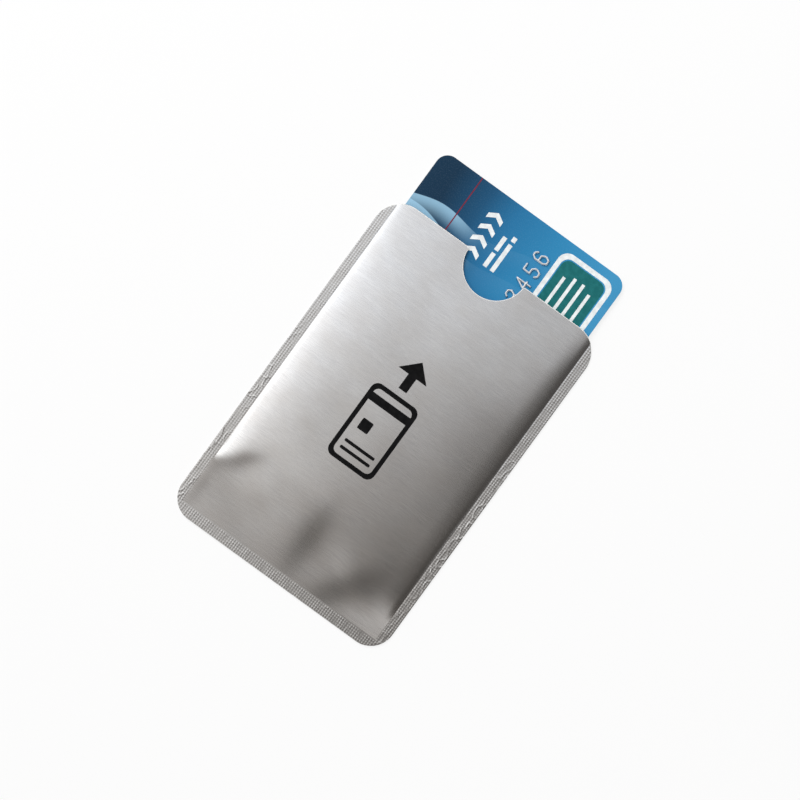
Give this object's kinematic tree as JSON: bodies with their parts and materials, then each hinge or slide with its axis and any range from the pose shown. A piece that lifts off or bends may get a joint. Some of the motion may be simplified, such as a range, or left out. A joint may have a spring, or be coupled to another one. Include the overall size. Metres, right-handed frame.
{
  "type": "rfid card sleeve",
  "caption": "Flat foil-laminate card sleeve with a thumb notch in its mouth, sealed on three edges, and the contactless card that slides in and out of it.",
  "frame": {"origin": "middle of the sleeve's flat back face", "axes": "+X across the sleeve, +Y along it towards the open mouth, +Z out of its front"},
  "size_m": [0.062, 0.1074, 0.0022],
  "materials": {
    "brushed_film": "satin, brushed across its width",
    "shield_foil": "bright foil",
    "liner_paper": "matte",
    "seal_coating": "satin",
    "black_ink": "matte",
    "card_plastic": "matte",
    "antenna_copper": "polished",
    "chip_resin": "matte",
    "chip_tape": "satin",
    "contact_gold": "polished",
    "card_face": "gloss",
    "card_back": "gloss",
    "stripe_black": "satin",
    "signature_paper": "matte",
    "embossed_silver": "satin",
    "white_ink": "gloss",
    "teal_ink": "gloss",
    "red_ink": "gloss"
  },
  "bodies": {
    "sleeve": {"front_film": "brushed_film", "front_foil": "shield_foil", "front_liner": "liner_paper", "left_seal_strip": "seal_coating", "right_seal_strip": "seal_coating", "bottom_seal_strip": "seal_coating", "back_liner": "liner_paper", "back_foil": "shield_foil", "back_film": "brushed_film", "front_print": "black_ink"},
    "card": {"card_core": "card_plastic", "antenna_coil": "antenna_copper", "chip_capsule": "chip_resin", "chip_carrier": "chip_tape", "contact_pads": "contact_gold", "card_front_sheet": "card_face", "card_back_sheet": "card_back", "card_front_overlay": "card_face", "card_back_overlay": "card_back", "magnetic_stripe": "stripe_black", "signature_panel": "signature_paper", "raised_number": "embossed_silver", "white_print": "white_ink", "teal_print": "teal_ink", "red_hairline": "red_ink"}
  },
  "joints": [
    {"name": "card_slide", "type": "slide", "parent": "sleeve", "child": "card", "axis": [0, 1, 0], "range_m": [-0.0168, 0.07]}
  ]
}
